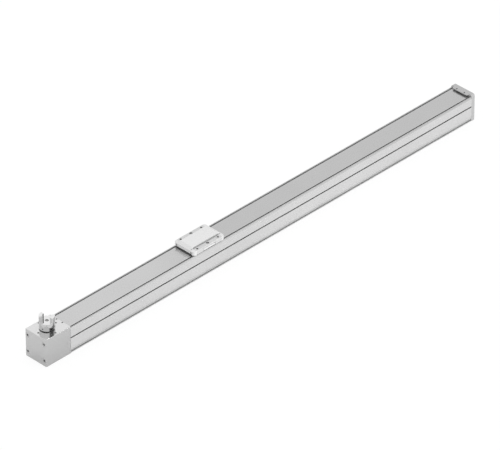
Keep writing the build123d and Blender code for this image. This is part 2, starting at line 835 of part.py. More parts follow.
# Coupling hub: clamping hub with two claws
gap_half_angle = radians(90.0 - claw_angle / 2)
gap_reach = 2 * hub_radius
with BuildSketch(Plane.XY) as claw_gap_sketch:
    with BuildLine():
        Polyline(
            (0, 0),
            (gap_reach * cos(gap_half_angle), gap_reach * sin(gap_half_angle)),
            (gap_reach, gap_reach * sin(gap_half_angle)),
            (gap_reach, -gap_reach * sin(gap_half_angle)),
            (gap_reach * cos(gap_half_angle), -gap_reach * sin(gap_half_angle)),
            close=True,
        )
    make_face()
claw_gap = claw_gap_sketch.sketch
hub_screw_z = hub_z + hub_clamp_height / 2
with BuildPart() as coupling_hub:
    with BuildSketch(Plane.XY.offset(hub_z)):
        with Locations((shaft_x, 0)):
            Circle(hub_radius)
    extrude(amount=hub_height)
    with BuildSketch(Plane.XY.offset(hub_top)):
        with Locations((shaft_x, 0)):
            Circle(hub_radius)
            Circle(claw_inner_radius, mode=Mode.SUBTRACT)
            with PolarLocations(0, 2, claw_direction + 90.0):
                add(claw_gap, mode=Mode.SUBTRACT)
    extrude(amount=claw_height)
    with BuildSketch(Plane.XY.offset(hub_z)):
        with Locations((shaft_x, 0)):
            Circle(hub_seat_radius + seat_clearance)
    extrude(amount=hub_height, mode=Mode.SUBTRACT)
    with BuildSketch(Plane.XY.offset(hub_z)):
        with Locations((shaft_x + hub_radius / 2, 0)):
            Rectangle(hub_radius + 2 * hub_slit_overrun, hub_slit_width)
    extrude(amount=hub_clamp_height, mode=Mode.SUBTRACT)
    with BuildSketch(Plane.XZ.offset(-hub_radius)):
        with Locations((shaft_x + hub_screw_offset, hub_screw_z)):
            Circle(hub_screw_radius + screw_hole_clearance)
    extrude(amount=2 * hub_radius, mode=Mode.SUBTRACT)
    with BuildSketch(Plane.XZ.offset(hub_radius)):
        with Locations((shaft_x + hub_screw_offset, hub_screw_z)):
            Circle(hub_screw_head_radius + counterbore_clearance)
    extrude(amount=hub_screw_seat - hub_radius, mode=Mode.SUBTRACT)
save(coupling_hub, "coupling_hub")

hub_screw = cap_screw(hub_screw_radius, hub_screw_grip, hub_screw_head_radius, hub_screw_head_height)
hub_screw_plane = Plane(
    origin=(shaft_x + hub_screw_offset, -hub_screw_seat, hub_screw_z),
    x_dir=(1, 0, 0),
    z_dir=(0, -1, 0),
)
with BuildPart(hub_screw_plane) as hub_clamp_screw:
    add(hub_screw)
save(hub_clamp_screw, "hub_clamp_screw")

# Idler: pulley on two bearings round a fixed pin
with BuildPart() as idler_pulley:
    add(toothed_rim(idler_x, 0.0))
    with BuildSketch(Plane.XY.offset(pulley_low)):
        with Locations((idler_x, 0)):
            Circle(idler_bearing_outer_radius - idler_shoulder)
    extrude(amount=2 * pulley_half_height, mode=Mode.SUBTRACT)
    for bore_z in (pulley_low, pulley_high - idler_bearing_width):
        with BuildSketch(Plane.XY.offset(bore_z)):
            with Locations((idler_x, 0)):
                Circle(idler_bearing_outer_radius + seat_clearance)
        extrude(amount=idler_bearing_width, mode=Mode.SUBTRACT)
save(idler_pulley, "idler_pulley")

with BuildPart() as idler_pin:
    with BuildSketch(Plane.XY.offset(idler_pin_low)):
        with Locations((idler_x, 0)):
            Circle(idler_pin_radius)
    extrude(amount=idler_pin_high - idler_pin_low)
save(idler_pin, "idler_pin")

idler_bore = idler_pin_radius + seat_clearance
idler_inner_face = idler_pin_radius + idler_bearing_ring_thickness
idler_bearing_zs = (pulley_low, pulley_high - idler_bearing_width)
with BuildPart() as idler_bearing_outer_rings:
    for ring_z in idler_bearing_zs:
        add(
            outer_ring(
                idler_x,
                ring_z,
                idler_bearing_outer_radius,
                idler_bearing_width,
                idler_bearing_ring_thickness,
                idler_inner_face,
            )
        )
save(idler_bearing_outer_rings, "idler_bearing_outer_rings")

with BuildPart() as idler_bearing_inner_rings:
    for ring_z in idler_bearing_zs:
        add(inner_ring(idler_x, ring_z, idler_bore, idler_inner_face, idler_bearing_width))
save(idler_bearing_inner_rings, "idler_bearing_inner_rings")

with BuildPart() as idler_washers:
    for washer_z in (room_low, pulley_high):
        add(inner_ring(idler_x, washer_z, idler_bore, idler_inner_face, pulley_end_gap))
save(idler_washers, "idler_washers")

# Guide rail on the profile's floor, with its screws
with BuildPart() as guide_rail:
    with BuildSketch(across(rail_start, rail_z)):
        with Locations((0, rail_height / 2)):
            Rectangle(rail_width, rail_height)
        for side in (-1, 1):
            with BuildLine():
                Polyline(
                    (side * rail_width / 2, rail_groove_z - rail_groove_height / 2),
                    (side * (rail_width / 2 - rail_groove_depth), rail_groove_z),
                    (side * rail_width / 2, rail_groove_z + rail_groove_height / 2),
                    close=True,
                )
            make_face(mode=Mode.SUBTRACT)
    extrude(amount=rail_length)
    with Locations(Plane((rail_mid, 0, rail_top))):
        with GridLocations(rail_hole_pitch, 0, rail_hole_count, 1):
            CounterBoreHole(
                rail_screw_radius + screw_hole_clearance,
                rail_screw_head_radius + counterbore_clearance,
                rail_top - rail_screw_seat,
            )
save(guide_rail, "guide_rail")

rail_screw = cap_screw(
    rail_screw_radius,
    rail_screw_seat - rail_z + rail_screw_grip - screw_tip_gap,
    rail_screw_head_radius,
    rail_screw_head_height,
)
with BuildPart(Plane((rail_mid, 0, rail_screw_seat))) as rail_screws:
    with GridLocations(rail_hole_pitch, 0, rail_hole_count, 1):
        add(rail_screw)
save(rail_screws, "rail_screws")


def runner_piece(start_x, length, inset):
    """A length of the runner: a saddle over the rail, smaller than the block by the inset."""
    with BuildPart() as piece:
        with BuildSketch(across(start_x)):
            with Locations((0, (runner_bottom + runner_top) / 2)):
                Rectangle(runner_width - 2 * inset, runner_height - 2 * inset)
            with Locations((0, rail_z + (rail_height + runner_clearance) / 2)):
                Rectangle(
                    rail_width + 2 * runner_clearance,
                    rail_height + runner_clearance,
                    mode=Mode.SUBTRACT,
                )
        extrude(amount=length)
    return piece.part


with BuildPart() as runner_block:
    add(runner_piece(slide_x - runner_length / 2, runner_length, 0.0))
    with Locations(Plane((slide_x, 0, runner_top))):
        with GridLocations(runner_hole_spacing_x, runner_hole_spacing_y, 2, 2):
            Hole(runner_screw_radius + seat_clearance, runner_screw_grip)
save(runner_block, "runner_block")

with BuildPart() as runner_end_caps:
    for start_x in (slide_x - runner_length / 2 - runner_cap_length, slide_x + runner_length / 2):
        add(runner_piece(start_x, runner_cap_length, runner_cap_inset))
save(runner_end_caps, "runner_end_caps")

runner_reach = runner_length / 2 + runner_cap_length
with BuildPart() as runner_seals:
    for start_x in (slide_x - runner_reach - runner_seal_length, slide_x + runner_reach):
        add(runner_piece(start_x, runner_seal_length, 2 * runner_cap_inset))
save(runner_seals, "runner_seals")

runner_screw_seat = foot_top - runner_screw_head_height - runner_screw_sink
runner_screw = cap_screw(
    runner_screw_radius,
    runner_screw_seat - runner_top + runner_screw_grip - screw_tip_gap,
    runner_screw_head_radius,
    runner_screw_head_height,
)
with BuildPart(Plane((slide_x, 0, runner_screw_seat))) as runner_screws:
    with GridLocations(runner_hole_spacing_x, runner_hole_spacing_y, 2, 2):
        add(runner_screw)
save(runner_screws, "runner_screws")


def table_outline():
    """Section of the table above the profile: sides, ledges and plateau."""
    with BuildSketch(Plane.XY) as outline:
        with Locations((0, (slide_low + slide_ledge_z) / 2)):
            Rectangle(slide_width, slide_ledge_z - slide_low)
        fillet(outline.vertices().group_by(Axis.Y)[-1], radius=slide_edge_radius)
        with Locations((0, (slide_low + slide_top) / 2)):
            Rectangle(slide_plateau_width, slide_top - slide_low)
        fillet(outline.vertices().group_by(Axis.Y)[-1], radius=slide_edge_radius)
    return outline.sketch


# Slide body: outer table, two webs through the slits, and the carrier on the runner in one piece
with BuildPart() as slide_body:
    with BuildSketch(across(slide_x - slide_half)):
        add(table_outline())
        for side in (-1, 1):
            with Locations((side * (web_outer - slide_web_thickness / 2), (wing_low + slide_low) / 2)):
                Rectangle(slide_web_thickness, slide_low - wing_low)
        with Locations((0, (wing_low + wing_top) / 2)):
            Rectangle(2 * web_outer, wing_top - wing_low)
        with Locations((0, (shoulder_low + wing_low) / 2)):
            Rectangle(2 * inner_half, wing_low - shoulder_low)
        with Locations((0, (runner_top + wing_low) / 2)):
            Rectangle(2 * core_half, wing_low - runner_top)
        with Locations((0, (runner_top + foot_top) / 2)):
            Rectangle(2 * foot_half, slide_foot_thickness)
    extrude(amount=slide_body_length)
    with Locations(Plane((slide_x, 0, slide_ledge_z))):
        with GridLocations(table_hole_spacing_x, table_hole_spacing_y, 2, 2):
            Hole(table_hole_radius, table_hole_depth)
        with GridLocations(0, table_hole_spacing_y, 1, 2):
            Hole(centring_hole_radius, centring_hole_depth)
    with Locations(Plane((slide_x, 0, foot_top))):
        with GridLocations(runner_hole_spacing_x, runner_hole_spacing_y, 2, 2):
            CounterBoreHole(
                runner_screw_radius + screw_hole_clearance,
                runner_screw_head_radius + counterbore_clearance,
                foot_top - runner_screw_seat,
                slide_foot_thickness,
            )
    for side in (-1, 1):
        with BuildSketch(Plane.XZ.offset(-side * slide_width / 2)):
            with Locations((slide_x, slide_low + side_pocket_height / 2)):
                Rectangle(side_pocket_length, side_pocket_height)
        extrude(amount=side * side_pocket_depth, mode=Mode.SUBTRACT)
    with Locations(clamp_plane(core_half)):
        with GridLocations(clamp_screw_spacing_x, clamp_screw_spacing_z, 2, 2):
            Hole(clamp_screw_radius + seat_clearance, core_half)
    with Locations(across(slide_x - slide_half, slide_low + cover_screw_z_rise, facing=-1)):
        with GridLocations(cover_screw_spacing, 0, 2, 1):
            Hole(cover_screw_radius + seat_clearance, cover_screw_grip)
    with Locations(across(slide_x + slide_half, slide_low + cover_screw_z_rise)):
        with GridLocations(cover_screw_spacing, 0, 2, 1):
            Hole(cover_screw_radius + seat_clearance, cover_screw_grip)
save(slide_body, "slide_body")

with BuildPart() as side_inserts:
    for side in (-1, 1):
        with BuildSketch(Plane.XZ.offset(-side * (slide_width / 2 - side_pocket_depth))):
            with Locations((slide_x, slide_low + side_pocket_height / 2)):
                Rectangle(
                    side_pocket_length - 2 * side_insert_gap,
                    side_pocket_height - 2 * side_insert_gap,
                )
        extrude(amount=-side * (side_pocket_depth - side_insert_sink))
save(side_inserts, "side_inserts")


wiper_low = strip_top + wiper_gap
for end, name in ((-1, "slide_cover_head_end"), (1, "slide_cover_far_end")):
    with BuildPart() as slide_cover:
        with BuildSketch(across(slide_x + min(end * slide_half, end * cover_end))):
            add(table_outline())
            with Locations((0, slide_low + cover_mouth_height / 2)):
                Rectangle(cover_mouth_width, cover_mouth_height, mode=Mode.SUBTRACT)
        extrude(amount=slide_cover_length)
        with BuildSketch(Plane.XY.offset(slide_low)):
            with Locations((slide_x, 0)):
                RectangleRounded(2 * cover_end, slide_width, slide_corner_radius)
        extrude(amount=slide_top - slide_low, mode=Mode.INTERSECT)
        with BuildSketch(Plane.XZ.offset(-slide_width / 2)):
            with BuildLine():
                Polyline(
                    (slide_x, slide_low),
                    (slide_x + end * cover_end, slide_low),
                    (slide_x + end * cover_end, slide_top - slide_nose_drop),
                    (slide_x + end * (cover_end - slide_nose_length), slide_top),
                    (slide_x, slide_top),
                    close=True,
                )
            make_face()
        extrude(amount=slide_width, mode=Mode.INTERSECT)
        with Locations(across(slide_x + end * cover_end, slide_low + cover_screw_z_rise, facing=end)):
            with GridLocations(cover_screw_spacing, 0, 2, 1):
                CounterBoreHole(
                    cover_screw_radius + screw_hole_clearance,
                    cover_screw_head_radius + screw_hole_clearance,
                    cover_screw_head_height,
                    slide_cover_length,
                )
    save(slide_cover, name)

for end, name in ((-1, "strip_wiper_head_end"), (1, "strip_wiper_far_end")):
    wiper_x = slide_x + end * (cover_end - wiper_inset - wiper_thickness / 2)
    with BuildPart() as strip_wiper:
        with BuildSketch(Plane.XY.offset(wiper_low)):
            with Locations((wiper_x, 0)):
                Rectangle(wiper_thickness, cover_mouth_width - 2 * wiper_gap)
        extrude(amount=slide_low + cover_mouth_height - wiper_low)
    save(strip_wiper, name)

cover_screw = cap_screw(
    cover_screw_radius,
    slide_cover_length - cover_screw_head_height + cover_screw_grip - screw_tip_gap,
    cover_screw_head_radius,
    cover_screw_head_height,
)
with BuildPart() as end_cover_screws:
    for end in (-1, 1):
        seat_x = slide_x + end * (cover_end - cover_screw_head_height)
        with Locations(across(seat_x, slide_low + cover_screw_z_rise, facing=end)):
            with GridLocations(cover_screw_spacing, 0, 2, 1):
                add(cover_screw)
save(end_cover_screws, "end_cover_screws")

# Belt clamp: a toothed jaw on the slide's core and a plate that presses the belt's back
jaw_outer = belt_inner_radius + jaw_land
jaw_groove = tooth(
    belt_tooth_height + jaw_tooth_clearance,
    belt_tooth_root + 2 * jaw_tooth_clearance,
    belt_tooth_tip + 2 * jaw_tooth_clearance,
    groove_overlap,
)
with BuildPart() as belt_jaw:
    with BuildSketch(Plane.XY.offset(jaw_low)):
        with Locations((slide_x, clamp_side * (core_half + jaw_outer) / 2)):
            Rectangle(jaw_length, jaw_outer - core_half)
    extrude(amount=jaw_high - jaw_low)
    with BuildSketch(Plane.XY.offset(belt_low - jaw_gap)):
        with Locations((slide_x, clamp_side * (belt_inner_radius + jaw_land))):
            Rectangle(jaw_length, 2 * jaw_land)
        with Locations(Location((slide_x, clamp_side * belt_inner_radius, 0), (0, 0, clamp_side * 90.0))):
            with GridLocations(0, belt_pitch, 1, jaw_teeth):
                add(jaw_groove)
    extrude(amount=belt_width + 2 * jaw_gap, mode=Mode.SUBTRACT)
    with Locations(clamp_plane(jaw_outer)):
        with GridLocations(clamp_screw_spacing_x, clamp_screw_spacing_z, 2, 2):
            Hole(clamp_screw_radius + screw_hole_clearance)
save(belt_jaw, "belt_jaw")

plate_inner = belt_back_radius + seat_clearance
plate_outer = inner_half
clamp_screw_seat = plate_outer - clamp_screw_head_height
with BuildPart() as belt_clamp_plate:
    with BuildSketch(Plane.XY.offset(jaw_low)):
        with Locations((slide_x, clamp_side * (plate_inner + plate_outer) / 2)):
            Rectangle(jaw_length, plate_outer - plate_inner)
    extrude(amount=jaw_high - jaw_low)
    with Locations(clamp_plane(plate_outer)):
        with GridLocations(clamp_screw_spacing_x, clamp_screw_spacing_z, 2, 2):
            CounterBoreHole(
                clamp_screw_radius + screw_hole_clearance,
                clamp_screw_head_radius + screw_hole_clearance,
                clamp_screw_head_height,
            )
save(belt_clamp_plate, "belt_clamp_plate")

clamp_screw = cap_screw(
    clamp_screw_radius,
    clamp_screw_seat - core_half + clamp_screw_grip,
    clamp_screw_head_radius,
    clamp_screw_head_height,
)
with BuildPart(clamp_plane(clamp_screw_seat)) as belt_clamp_screws:
    with GridLocations(clamp_screw_spacing_x, clamp_screw_spacing_z, 2, 2):
        add(clamp_screw)
save(belt_clamp_screws, "belt_clamp_screws")

# Rubber buffers, pushed into the drive housing and the idler housing
for name, seat_x, facing in (
    ("head_end_buffers", profile_x, 1),
    ("far_end_buffers", idler_housing_x, -1),
):
    with BuildPart(across(seat_x, buffer_z, facing=facing)) as buffers:
        with GridLocations(buffer_spacing, 0, 2, 1):
            Cylinder(buffer_radius, buffer_length, align=(Align.CENTER, Align.CENTER, Align.MIN))
            Cylinder(buffer_stem_radius, buffer_stem_length, align=(Align.CENTER, Align.CENTER, Align.MAX))
    save(buffers, name)
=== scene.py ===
import json
from math import cos, radians, sin

import bmesh
import bpy
from mathutils import Matrix, Vector


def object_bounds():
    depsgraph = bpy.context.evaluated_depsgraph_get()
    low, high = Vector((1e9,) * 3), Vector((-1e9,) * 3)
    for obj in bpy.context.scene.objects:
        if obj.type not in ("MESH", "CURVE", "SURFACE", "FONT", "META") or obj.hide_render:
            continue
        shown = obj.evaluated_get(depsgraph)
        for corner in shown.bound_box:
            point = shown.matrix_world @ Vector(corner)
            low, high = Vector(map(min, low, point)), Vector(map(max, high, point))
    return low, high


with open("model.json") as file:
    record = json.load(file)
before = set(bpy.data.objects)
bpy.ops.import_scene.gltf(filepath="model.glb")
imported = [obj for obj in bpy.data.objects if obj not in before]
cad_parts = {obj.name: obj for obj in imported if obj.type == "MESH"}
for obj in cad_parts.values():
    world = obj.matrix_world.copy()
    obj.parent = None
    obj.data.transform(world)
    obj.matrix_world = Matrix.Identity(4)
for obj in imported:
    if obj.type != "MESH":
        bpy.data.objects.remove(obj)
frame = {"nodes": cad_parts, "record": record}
cad_low, cad_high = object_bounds()

# Camera: angles in degrees, lens and sensor in millimetres, the rest in metres
CAMERA_AZIMUTH = 44.770
CAMERA_ELEVATION = 34.716
CAMERA_ROLL = -0.061
CAMERA_PLACE = (-7.3260, -7.2485, 7.1637)
CAMERA_LENS = 433.9
CAMERA_SENSOR = 36.0
CAMERA_NEAR = 0.5
CAMERA_FAR = 50.0

# Surfaces: what all of them share
CLOUD_SCALE = 12.0
RELIEF_DEPTH = 0.0005
EDGE_RADIUS = 0.0003
NOISE_LOW = 0.3
NOISE_HIGH = 0.7
RECESS_CLOSED = 0.25
RECESS_OPEN = 0.85

# Tones that change at a height of a piece: blur of the step, and the share of the tone beyond it.
# Below the ledge the slide's tone is lower; the other shares are painted shade: on the slide's sides below
# the inserts, along the inserts' lower edge, and on the profile's top rim band.
STEP_BLUR = 0.0001
LEDGE_SHARE = 0.82
LOWER_EDGE_SHADE_SHARE = 0.40
INSERT_SHADE_BAND = 0.0006
RIM_SHADE_BAND = 0.0034
RIM_SHADE_SHARE = 0.74

# Stretch of the grain, shade in recesses, and the grain of rubber
ALONG = (0.02, 1.0, 1.0)
TURNED = (0.05, 0.05, 1.0)
WALL = {"reach": 0.005, "deepest": 0.08}
BLOCK = {"reach": 0.003, "deepest": 0.3}
FINE = {"reach": 0.005, "deepest": 0.1}
OPEN = {"reach": 0.002, "deepest": 0.8}
RUBBER = {"lines": 2500.0, "bump": 0.1}

# Materials: dark tone, light tone, range of roughness, metallic share, and what else differs
FINISHES = {
    "anodised_profile": (0.62, 0.66, (0.42, 0.50), 0.25, {"stretch": ALONG, "lines": 900.0, **WALL}),
    "strip_steel": (0.53, 0.56, (0.18, 0.24), 0.85, {"stretch": ALONG, "lines": 1200.0}),
    "housing_aluminium": (0.64, 0.68, (0.15, 0.20), 0.9, {"lines": 1500.0, **BLOCK}),
    "cap_aluminium": (0.52, 0.56, (0.35, 0.45), 0.3, {"lines": 1500.0}),
    "hub_aluminium": (0.68, 0.74, (0.05, 0.09), 1.0, {"stretch": TURNED, "lines": 1500.0, **OPEN}),
    "pulley_aluminium": (0.66, 0.72, (0.28, 0.38), 0.9, {}),
    "slide_aluminium": (0.83, 0.86, (0.34, 0.42), 0.2, {"stretch": ALONG, "lines": 1200.0, **FINE}),
    "light_plastic": (0.83, 0.86, (0.40, 0.50), 0.0, {"lines": 3000.0, **FINE}),
    "insert_plastic": (0.80, 0.83, (0.40, 0.50), 0.0, {"lines": 3000.0}),
    "black_plastic": (0.02, 0.03, (0.40, 0.50), 0.0, {"lines": 3000.0}),
    "shaft_steel": (0.52, 0.58, (0.15, 0.25), 1.0, {"stretch": TURNED, "lines": 1800.0}),
    "rail_steel": (0.46, 0.52, (0.20, 0.30), 1.0, {"stretch": ALONG, "lines": 1200.0}),
    "bearing_steel": (0.62, 0.68, (0.08, 0.14), 1.0, {"stretch": TURNED, "lines": 1800.0}),
    "screw_steel": (0.58, 0.64, (0.25, 0.35), 0.9, {}),
    "dark_screw_steel": (0.12, 0.16, (0.35, 0.45), 0.8, {}),
    "belt_rubber": (0.015, 0.03, (0.65, 0.80), 0.0, RUBBER),
    "buffer_rubber": (0.015, 0.025, (0.55, 0.70), 0.0, RUBBER),
}

# Room: levels of the plain light round the object, and of what its bright metal mirrors
ROOM_ABOVE = 0.84
ROOM_BELOW = 0.76
HORIZON_BLUR = 0.25
ROOM_MIRRORED = 0.95
WHITE = (1, 1, 1, 1)

# Floor: tone that metal mirrors, and the faint shadow that the camera sees on it
FLOOR_TONE = 0.90
FLOOR_TONE_SPREAD = 0.01
FLOOR_CLOUD_SCALE = 3.0
FLOOR_SHADOW_SHARE = 0.16
SHADOW_ALBEDO = 0.20
FLOOR_GAP = 0.0005
FLOOR_SIZE = 12.0

# Dark flag of the studio, up and to the front right: azimuth, elevation, reach each way, level.
# It shows from the second mirroring on, which is a glossy depth over 1.5
FLAG_AZIMUTH = 300.0
FLAG_ELEVATION = 33.0
FLAG_REACH = (0.9, 0.56, 0.40)
FLAG_LEVEL = 0.03
FLAG_CORE = 0.85
FLAG_RIM = 1.1
SECOND_MIRRORING = 1.5

# Lamps: place, point that the lamp looks at, size and power
LAMPS = {
    "strip_light": ((-0.15, 0.55, 0.6), (-0.15, 0, 0), 0.9, 0.45),
    "near_side_light": ((-0.7, -2.5, 0.3), (-0.7, 0, 0), 0.8, 1.5),
    "far_side_light": ((0.6, -2.5, 0.3), (0.6, 0, 0), 0.8, 20.0),
}


def new_group(name, inputs, outputs):
    """Empty shader node group with named sockets; returns the group, its input node and its output node."""
    group = bpy.data.node_groups.new(name, "ShaderNodeTree")
    for socket, value in inputs:
        kind = "NodeSocketVector" if isinstance(value, tuple) else "NodeSocketFloat"
        item = group.interface.new_socket(name=socket, in_out="INPUT", socket_type=kind)
        item.default_value = value
    for socket in outputs:
        group.interface.new_socket(name=socket, in_out="OUTPUT", socket_type="NodeSocketFloat")
    return group, group.nodes.new("NodeGroupInput"), group.nodes.new("NodeGroupOutput")


def node(tree, kind, **values):
    """New node; values set its properties, or its inputs by name where it has no such property."""
    made = tree.nodes.new(kind)
    for key, value in values.items():
        if hasattr(made, key):
            setattr(made, key, value)
        else:
            made.inputs[key.replace("_", " ")].default_value = value
    return made


def build_grain_group():
    """Fine directional grain: a stretched noise for the lines and a slow one for cloudiness."""
    group, into, out = new_group(
        "directional_grain",
        (("Stretch", (1.0, 1.0, 1.0)), ("Line Scale", 600.0), ("Cloud Scale", CLOUD_SCALE)),
        ("Lines", "Clouds"),
    )
    place = node(group, "ShaderNodeTexCoord")
    stretch = node(group, "ShaderNodeVectorMath", operation="MULTIPLY")
    lines = node(group, "ShaderNodeTexNoise", Detail=3.0, Roughness=0.6)
    clouds = node(group, "ShaderNodeTexNoise", Detail=2.0, Roughness=0.5)
    link = group.links.new
    link(place.outputs["Object"], stretch.inputs[0])
    link(into.outputs["Stretch"], stretch.inputs[1])
    link(stretch.outputs[0], lines.inputs["Vector"])
    link(into.outputs["Line Scale"], lines.inputs["Scale"])
    link(place.outputs["Object"], clouds.inputs["Vector"])
    link(into.outputs["Cloud Scale"], clouds.inputs["Scale"])
    link(lines.outputs["Fac"], out.inputs["Lines"])
    link(clouds.outputs["Fac"], out.inputs["Clouds"])
    return group


def build_recess_group():
    """Shade that gathers in narrow grooves, gaps and inner corners: 1 in the open, less in a recess."""
    group, into, out = new_group("recess_shade", (("Reach", 0.004), ("Deepest Shade", 0.4)), ("Shade",))
    around = node(group, "ShaderNodeAmbientOcclusion", samples=8, only_local=True)
    shade = node(group, "ShaderNodeMapRange", From_Min=RECESS_CLOSED, From_Max=RECESS_OPEN)
    link = group.links.new
    link(into.outputs["Reach"], around.inputs["Distance"])
    link(around.outputs["AO"], shade.inputs["Value"])
    link(into.outputs["Deepest Shade"], shade.inputs["To Min"])
    link(shade.outputs["Result"], out.inputs["Shade"])
    return group


grain_group = build_grain_group()
recess_group = build_recess_group()


def mix_range(tree, source, low, high):
    """Maps a 0..1 value onto low..high, with the noise's middle spread out."""
    spread = node(
        tree, "ShaderNodeMapRange", From_Min=NOISE_LOW, From_Max=NOISE_HIGH, To_Min=low, To_Max=high,
    )
    tree.links.new(source, spread.inputs["Value"])
    return spread.outputs["Result"]


def material(name, dark, light, rough, metallic, stretch=(1, 1, 1), lines=600.0, bump=0.02,
             reach=0.004, deepest=0.45):
    """Surface between two tones, with grain in its colour, roughness and relief, soft edges, and painted
    shade in its recesses.
    """
    made = bpy.data.materials.new(name)
    made.use_nodes = True
    tree = made.node_tree
    link = tree.links.new
    shader = tree.nodes["Principled BSDF"]
    shader.inputs["Metallic"].default_value = metallic
    grain = node(
        tree, "ShaderNodeGroup", node_tree=grain_group, Stretch=stretch, Line_Scale=lines,
        Cloud_Scale=CLOUD_SCALE,
    )
    both = node(tree, "ShaderNodeMath", operation="ADD")
    half = node(tree, "ShaderNodeMath", operation="MULTIPLY")
    half.inputs[1].default_value = 0.5
    link(grain.outputs["Lines"], both.inputs[0])
    link(grain.outputs["Clouds"], both.inputs[1])
    link(both.outputs[0], half.inputs[0])
    tone = node(tree, "ShaderNodeMix", data_type="RGBA")
    dark_colour, light_colour = [socket for socket in tone.inputs if socket.type == "RGBA"]
    dark_colour.default_value = (dark, dark, dark, 1)
    light_colour.default_value = (light, light, light, 1)
    link(mix_range(tree, half.outputs[0], 0.0, 1.0), tone.inputs["Factor"])
    recess = node(
        tree, "ShaderNodeGroup", node_tree=recess_group, Reach=reach, Deepest_Shade=deepest,
    )
    shaded = node(tree, "ShaderNodeVectorMath", operation="SCALE", name="shaded_tone")
    link([socket for socket in tone.outputs if socket.type == "RGBA"][0], shaded.inputs[0])
    link(recess.outputs["Shade"], shaded.inputs["Scale"])
    link(shaded.outputs[0], shader.inputs["Base Color"])
    link(mix_range(tree, half.outputs[0], *rough), shader.inputs["Roughness"])
    relief = node(tree, "ShaderNodeBump", Strength=bump, Distance=RELIEF_DEPTH)
    soft = node(tree, "ShaderNodeBevel", samples=4, Radius=EDGE_RADIUS)
    link(grain.outputs["Lines"], relief.inputs["Height"])
    link(soft.outputs["Normal"], relief.inputs["Normal"])
    link(relief.outputs["Normal"], shader.inputs["Normal"])
    return made


def tone_step(made, height, share_under, share_over):
    """Scales a material's tone by one share under a height and by another over it."""
    tree = made.node_tree
    link = tree.links.new
    scale = tree.nodes["shaded_tone"].inputs["Scale"]
    recess = scale.links[0].from_socket
    place = node(tree, "ShaderNodeTexCoord")
    split = node(tree, "ShaderNodeSeparateXYZ")
    share = node(
        tree, "ShaderNodeMapRange", From_Min=height - STEP_BLUR, From_Max=height + STEP_BLUR,
        To_Min=share_under, To_Max=share_over,
    )
    both = node(tree, "ShaderNodeMath", operation="MULTIPLY")
    link(place.outputs["Object"], split.inputs[0])
    link(split.outputs["Z"], share.inputs["Value"])
    link(share.outputs["Result"], both.inputs[0])
    link(recess, both.inputs[1])
    link(both.outputs[0], scale)


materials = {}
for name, (dark, light, rough, metallic, other) in FINISHES.items():
    materials[name] = material(name, dark, light, rough, metallic, **other)
slide_top = max(corner[2] for corner in frame["nodes"]["slide_body"].bound_box)
insert_low = min(corner[2] for corner in frame["nodes"]["side_inserts"].bound_box)
profile_top = max(corner[2] for corner in frame["nodes"]["profile_extrusion"].bound_box)
tone_step(materials["slide_aluminium"], slide_top - 2 * STEP_BLUR, LEDGE_SHARE, 1.0)
# Painted shade: the slide's sides below the inserts and the inserts' lower edge are darkened.
tone_step(materials["slide_aluminium"], insert_low, LOWER_EDGE_SHADE_SHARE, 1.0)
tone_step(materials["insert_plastic"], insert_low + INSERT_SHADE_BAND, LOWER_EDGE_SHADE_SHARE, 1.0)
# Painted shade: the profile's top rim band, down to the rim band's depth below its top, is darkened.
tone_step(materials["anodised_profile"], profile_top - RIM_SHADE_BAND, 1.0, RIM_SHADE_SHARE)
slots = {part["node"]: part["material_slot"] for part in frame["record"]["subparts"]}
slots["end_cap"] = "cap_aluminium"
# The inserts get a plastic of their own, which carries the painted shade along their lower edge.
slots["side_inserts"] = "insert_plastic"
for name, obj in frame["nodes"].items():
    obj.data.materials.clear()
    obj.data.materials.append(materials[slots[name]])


def flag_level(tree, direction):
    """Level of the mirrored room: dark over a soft oval patch, and as in ROOM_MIRRORED elsewhere."""
    turn, tilt = radians(FLAG_AZIMUTH), radians(FLAG_ELEVATION)
    away = node(tree, "ShaderNodeVectorMath", operation="SUBTRACT")
    away.inputs[1].default_value = (cos(tilt) * cos(turn), cos(tilt) * sin(turn), sin(tilt))
    turned = node(tree, "ShaderNodeVectorRotate", rotation_type="Z_AXIS", Angle=-turn)
    stretched = node(tree, "ShaderNodeVectorMath", operation="DIVIDE")
    stretched.inputs[1].default_value = FLAG_REACH
    distance = node(tree, "ShaderNodeVectorMath", operation="LENGTH")
    blend = node(
        tree, "ShaderNodeMapRange", interpolation_type="SMOOTHSTEP",
        From_Min=FLAG_CORE, From_Max=FLAG_RIM, To_Min=FLAG_LEVEL, To_Max=ROOM_MIRRORED,
    )
    tree.links.new(direction, away.inputs[0])
    tree.links.new(away.outputs[0], turned.inputs["Vector"])
    tree.links.new(turned.outputs[0], stretched.inputs[0])
    tree.links.new(stretched.outputs[0], distance.inputs[0])
    tree.links.new(distance.outputs["Value"], blend.inputs["Value"])
    return blend.outputs["Result"]


